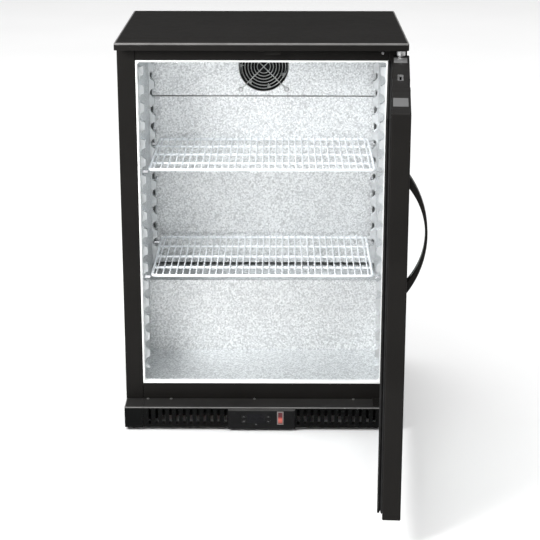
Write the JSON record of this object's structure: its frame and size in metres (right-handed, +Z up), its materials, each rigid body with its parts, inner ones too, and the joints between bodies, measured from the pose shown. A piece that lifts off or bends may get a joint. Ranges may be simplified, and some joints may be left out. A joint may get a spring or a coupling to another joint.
{
  "type": "undercounter refrigerator",
  "caption": "Black steel undercounter refrigerator with a hinged glass door, wire shelves, fan-cooled embossed interior, kick plinth with controls and a hidden machine bay.",
  "frame": {"origin": "on the floor, midway between the cabinet's sides and midway along the worktop's depth", "axes": "+X to the right seen from the front, +Y to the back, +Z up; the door opens towards -Y"},
  "size_m": [0.6031, 1.0211, 0.85],
  "materials": {
    "black_coat": "satin black powder coat",
    "galvanised": "galvanised sheet",
    "foam": "rigid closed-cell polyurethane foam",
    "embossed_aluminium": "stucco-embossed sheet",
    "white_plastic": "satin moulded plastic",
    "coil_fins": "thin pressed fins with a dark epoxy coat",
    "bare_fins": "thin pressed fins, uncoated",
    "rail_metal": "plain rail with punched notches",
    "black_plastic": "fine-grained moulded plastic",
    "coated_wire": "plastic-coated steel wire",
    "guard_wire": "light grey coated wire",
    "lamp_cover": "milky diffuser",
    "plated_steel": "bright zinc plate",
    "black_enamel": "gloss enamel",
    "black_rubber": "soft black rubber",
    "copper": "drawn copper tube",
    "display": "smoked window",
    "button_face": "gloss black with printed sign",
    "switch_rim": "pale moulded rim",
    "switch_red": "translucent red, lit",
    "window_glass": "clear tempered double glazing",
    "spacer_bar": "desiccant spacer",
    "gasket": "soft vinyl bulb",
    "grey_plastic": "plain grey inserts",
    "steel": "machined steel",
    "nylon": "natural nylon"
  },
  "bodies": {
    "cabinet": {"worktop": "black_coat", "side_panel_left": "black_coat", "side_panel_right": "black_coat", "back_panel": "black_coat", "top_rail": "black_coat", "sill_rail": "black_coat", "kick_grille": "black_coat", "plinth_corners": "black_coat", "hinge_plates": "black_coat", "lock_strike": "black_coat", "base_pan": "black_coat", "bay_divider": "black_coat", "rear_cover": "galvanised", "foam_insulation": "foam", "inner_liner": "embossed_aluminium", "fan_cover": "embossed_aluminium", "rear_air_panel": "embossed_aluminium", "breaker_strip": "white_plastic", "condenser_coil": "coil_fins", "evaporator_coil": "bare_fins", "shelf_uprights": "rail_metal", "evaporator_fan_frame": "black_plastic", "drip_tray": "black_plastic", "control_housing": "black_plastic", "light_housing": "black_plastic", "evaporator_fan_guard": "guard_wire", "light_diffuser": "lamp_cover", "shelf_clips": "plated_steel", "casing_screws": "plated_steel", "compressor": "black_enamel", "condenser_fan_mount": "black_enamel", "compressor_mounts": "black_rubber", "cord_gland": "black_rubber", "refrigerant_pipes": "copper", "display_window": "display", "rocker_bezel": "switch_rim", "hinge_pins": "steel"},
    "door": {"door_frame": "black_coat", "door_glass": "window_glass", "glass_spacer": "spacer_bar", "door_gasket": "gasket", "door_handle": "black_coat", "handle_screws": "plated_steel", "door_inserts": "grey_plastic", "lock_faceplate": "steel", "hinge_bushes": "nylon"},
    "lock": {"lock_cylinder": "plated_steel"},
    "upper_shelf": {"shelf_upper": "coated_wire"},
    "lower_shelf": {"shelf_lower": "coated_wire"},
    "evaporator_fan": {"evaporator_fan_rotor": "black_plastic"},
    "condenser_fan": {"condenser_fan_rotor": "black_plastic"},
    "power_rocker": {"rocker_paddle": "switch_red"},
    "key_1": {"button_1": "button_face"},
    "key_2": {"button_2": "button_face"},
    "key_3": {"button_3": "button_face"},
    "key_4": {"button_4": "button_face"},
    "foot_1": {"levelling_foot_1": "black_plastic"},
    "foot_2": {"levelling_foot_2": "black_plastic"},
    "foot_3": {"levelling_foot_3": "black_plastic"},
    "foot_4": {"levelling_foot_4": "black_plastic"}
  },
  "joints": [
    {"name": "door_hinge", "type": "hinge", "parent": "cabinet", "child": "door", "pos_m": [0.285, -0.207, 0.44], "axis": [0, 0, 1], "range_deg": [-86, 22]},
    {"name": "lock_turn", "type": "hinge", "parent": "door", "child": "lock", "pos_m": [0.26672, -0.46836, 0.797], "axis": [0.9976, -0.0698, 0], "range_deg": [0, 90]},
    {"name": "upper_shelf_slide", "type": "slide", "parent": "cabinet", "child": "upper_shelf", "axis": [0, -1, 0], "range_m": [0, 0.18]},
    {"name": "lower_shelf_slide", "type": "slide", "parent": "cabinet", "child": "lower_shelf", "axis": [0, -1, 0], "range_m": [0, 0.18]},
    {"name": "evaporator_fan_spin", "type": "hinge", "parent": "cabinet", "child": "evaporator_fan", "pos_m": [0, 0.17, 0.733], "axis": [0, 1, 0], "continuous": true},
    {"name": "condenser_fan_spin", "type": "hinge", "parent": "cabinet", "child": "condenser_fan", "pos_m": [0.16, 0.15, 0.112], "axis": [0, 1, 0], "continuous": true},
    {"name": "power_rocker_tilt", "type": "hinge", "parent": "cabinet", "child": "power_rocker", "pos_m": [0.04, -0.233, 0.032], "axis": [1, 0, 0], "range_deg": [0, 18]},
    {"name": "key_1_press", "type": "slide", "parent": "cabinet", "child": "key_1", "axis": [0, 1, 0], "range_m": [0, 0.001], "stiffness_N_per_m": 300},
    {"name": "key_2_press", "type": "slide", "parent": "cabinet", "child": "key_2", "axis": [0, 1, 0], "range_m": [0, 0.001], "stiffness_N_per_m": 300},
    {"name": "key_3_press", "type": "slide", "parent": "cabinet", "child": "key_3", "axis": [0, 1, 0], "range_m": [0, 0.001], "stiffness_N_per_m": 300},
    {"name": "key_4_press", "type": "slide", "parent": "cabinet", "child": "key_4", "axis": [0, 1, 0], "range_m": [0, 0.001], "stiffness_N_per_m": 300},
    {"name": "foot_1_screw", "type": "hinge", "parent": "cabinet", "child": "foot_1", "pos_m": [-0.25, -0.15, 0], "axis": [0, 0, 1], "range_deg": [-720, 0]},
    {"name": "foot_2_screw", "type": "hinge", "parent": "cabinet", "child": "foot_2", "pos_m": [0.25, -0.15, 0], "axis": [0, 0, 1], "range_deg": [-720, 0]},
    {"name": "foot_3_screw", "type": "hinge", "parent": "cabinet", "child": "foot_3", "pos_m": [-0.25, 0.205, 0], "axis": [0, 0, 1], "range_deg": [-720, 0]},
    {"name": "foot_4_screw", "type": "hinge", "parent": "cabinet", "child": "foot_4", "pos_m": [0.25, 0.205, 0], "axis": [0, 0, 1], "range_deg": [-720, 0]}
  ]
}
